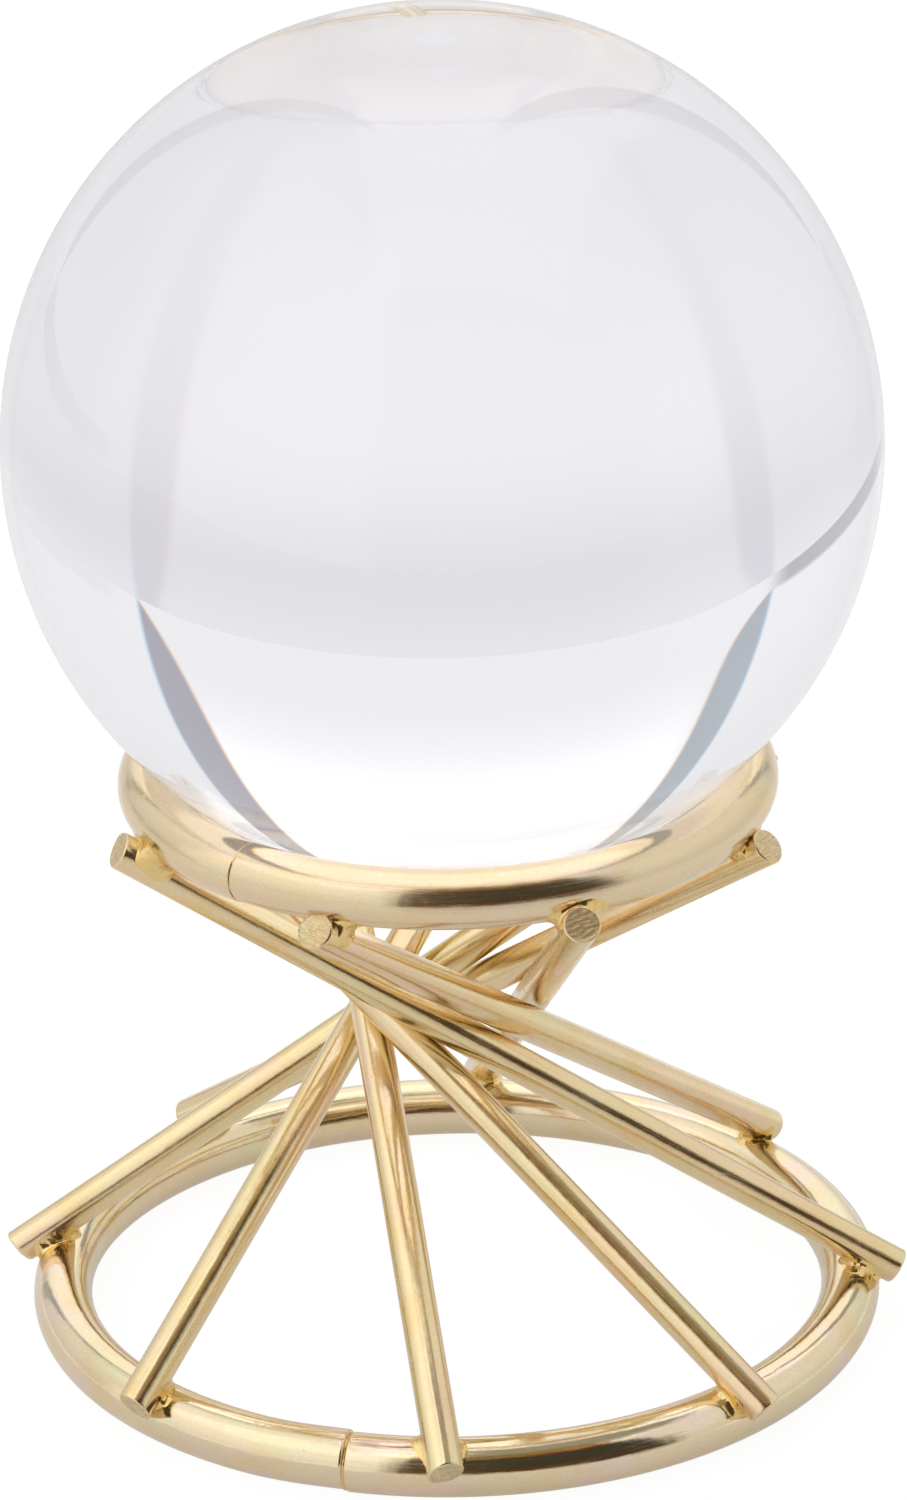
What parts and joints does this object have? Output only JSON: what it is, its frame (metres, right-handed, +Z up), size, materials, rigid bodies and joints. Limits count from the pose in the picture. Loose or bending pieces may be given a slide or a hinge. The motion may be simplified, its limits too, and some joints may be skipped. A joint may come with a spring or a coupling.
{
  "type": "crystal ball",
  "caption": "Clear glass ball resting loose in the upper ring of a gold wire stand: two round wire rings joined by straight rods that twist in to a narrow waist, welded at each crossing.",
  "frame": {"origin": "centre of the lower ring, on the table that the stand rests on", "axes": "+Z up through the centres of both rings and of the ball; +X to the right and -Y towards the viewer, with the seam of each ring near the front"},
  "size_m": [0.0849, 0.0849, 0.1275],
  "materials": {
    "crystal": "clear, polished",
    "ring_wire": "pale gold plating, polished",
    "rod_wire": "pale gold plating, satin drawn wire",
    "weld_metal": "pale gold plating over rough weld"
  },
  "bodies": {
    "stand": {"lower_ring": "ring_wire", "upper_ring": "ring_wire", "lower_ring_seam": "weld_metal", "upper_ring_seam": "weld_metal", "rod_1": "rod_wire", "rod_2": "rod_wire", "rod_3": "rod_wire", "rod_4": "rod_wire", "rod_5": "rod_wire", "rod_6": "rod_wire", "rod_7": "rod_wire", "rod_8": "rod_wire", "lower_weld_1": "weld_metal", "lower_weld_2": "weld_metal", "lower_weld_3": "weld_metal", "lower_weld_4": "weld_metal", "lower_weld_5": "weld_metal", "lower_weld_6": "weld_metal", "lower_weld_7": "weld_metal", "lower_weld_8": "weld_metal", "upper_weld_1": "weld_metal", "upper_weld_2": "weld_metal", "upper_weld_3": "weld_metal", "upper_weld_4": "weld_metal", "upper_weld_5": "weld_metal", "upper_weld_6": "weld_metal", "upper_weld_7": "weld_metal", "upper_weld_8": "weld_metal"},
    "ball": {"crystal_ball": "crystal"}
  },
  "joints": [
    {"name": "ball_lift", "type": "slide", "parent": "stand", "child": "ball", "axis": [0, 0, 1], "range_m": [0, 0.06]}
  ]
}
